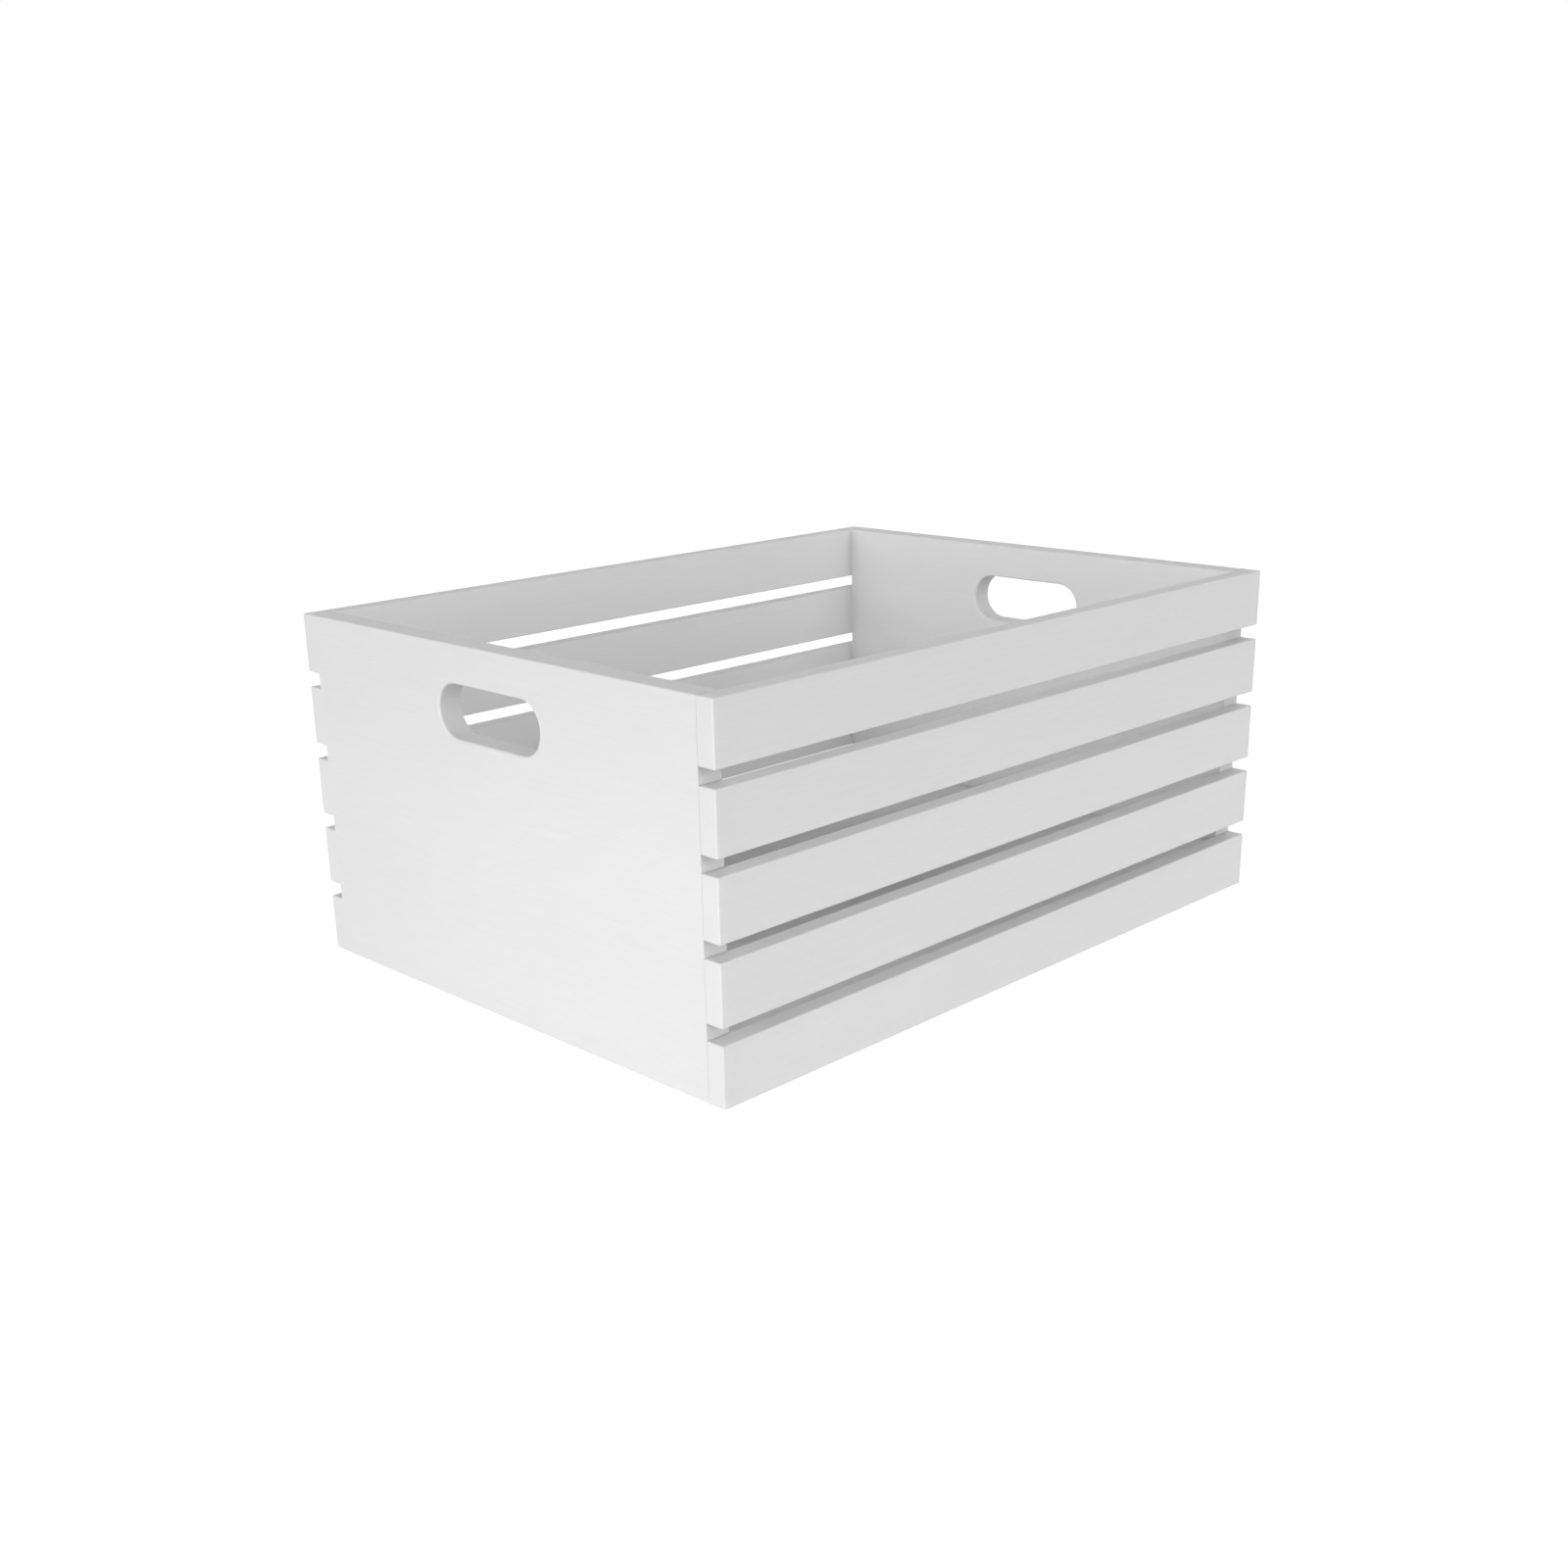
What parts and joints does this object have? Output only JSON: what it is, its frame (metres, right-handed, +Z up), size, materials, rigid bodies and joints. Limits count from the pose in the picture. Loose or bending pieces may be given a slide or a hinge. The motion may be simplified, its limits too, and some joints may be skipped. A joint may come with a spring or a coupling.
{
  "type": "slatted apple crate",
  "caption": "White-painted wooden crate, open on top, with solid end panels, pill-shaped hand holes, horizontal side slats and a slatted floor.",
  "frame": {"origin": "middle of the crate's footprint, on the surface it stands on", "axes": "+X along the crate's length towards the right end panel, +Y across it towards the back row of slats, +Z up"},
  "size_m": [0.504, 0.368, 0.22],
  "materials": {
    "painted_wood": "smooth satin white paint over fine-grained softwood",
    "steel": "plain bright steel, buried in the wood"
  },
  "bodies": {
    "root": {"left_end_panel": "painted_wood", "right_end_panel": "painted_wood", "front_slat_1": "painted_wood", "front_slat_2": "painted_wood", "front_slat_3": "painted_wood", "front_slat_4": "painted_wood", "front_slat_5": "painted_wood", "back_slat_1": "painted_wood", "back_slat_2": "painted_wood", "back_slat_3": "painted_wood", "back_slat_4": "painted_wood", "back_slat_5": "painted_wood", "floor_slat_1": "painted_wood", "floor_slat_2": "painted_wood", "floor_slat_3": "painted_wood", "floor_slat_4": "painted_wood", "floor_slat_5": "painted_wood", "floor_slat_6": "painted_wood", "floor_slat_7": "painted_wood", "floor_slat_8": "painted_wood", "left_cleat": "painted_wood", "right_cleat": "painted_wood", "front_left_nails": "steel", "front_right_nails": "steel", "back_left_nails": "steel", "back_right_nails": "steel", "left_floor_nails": "steel", "right_floor_nails": "steel", "left_cleat_screws": "steel", "right_cleat_screws": "steel"}
  },
  "joints": []
}
